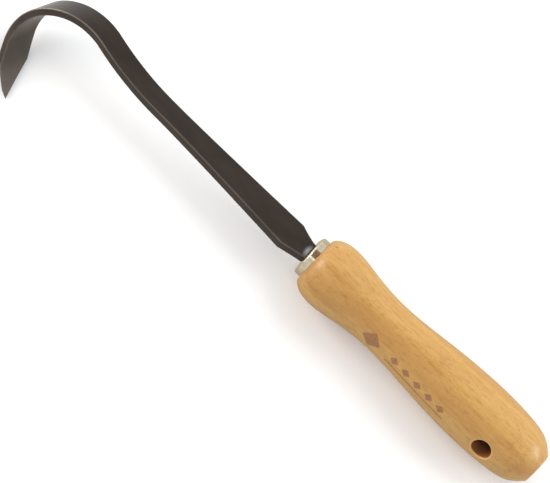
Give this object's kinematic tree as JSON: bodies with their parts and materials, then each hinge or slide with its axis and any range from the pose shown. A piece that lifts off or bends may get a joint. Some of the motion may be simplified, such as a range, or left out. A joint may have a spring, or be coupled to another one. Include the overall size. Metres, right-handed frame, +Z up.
{
  "type": "hoof knife",
  "caption": "Hooked hoof knife: a flat steel strip bent into a pointed hook, with a plated ferrule and a turned beech handle drilled with a hang hole.",
  "frame": {"origin": "centre of the bounding box at the height of the surface that the knife lies on", "axes": "+X along the handle's axis from the hook towards the butt, +Z up with the knife lying on its handle and on the point of its hook"},
  "size_m": [0.2772, 0.0514, 0.0291],
  "materials": {
    "blade_steel": "dark brown oxide on cold-bent flat bar, satin, with bright worn arrises",
    "ferrule_plate": "polished nickel plate, slightly warm",
    "beech": "clear-lacquered beech with fine dark flecks along the grain"
  },
  "bodies": {
    "root": {"blade": "blade_steel", "ferrule": "ferrule_plate", "handle": "beech"}
  },
  "joints": []
}
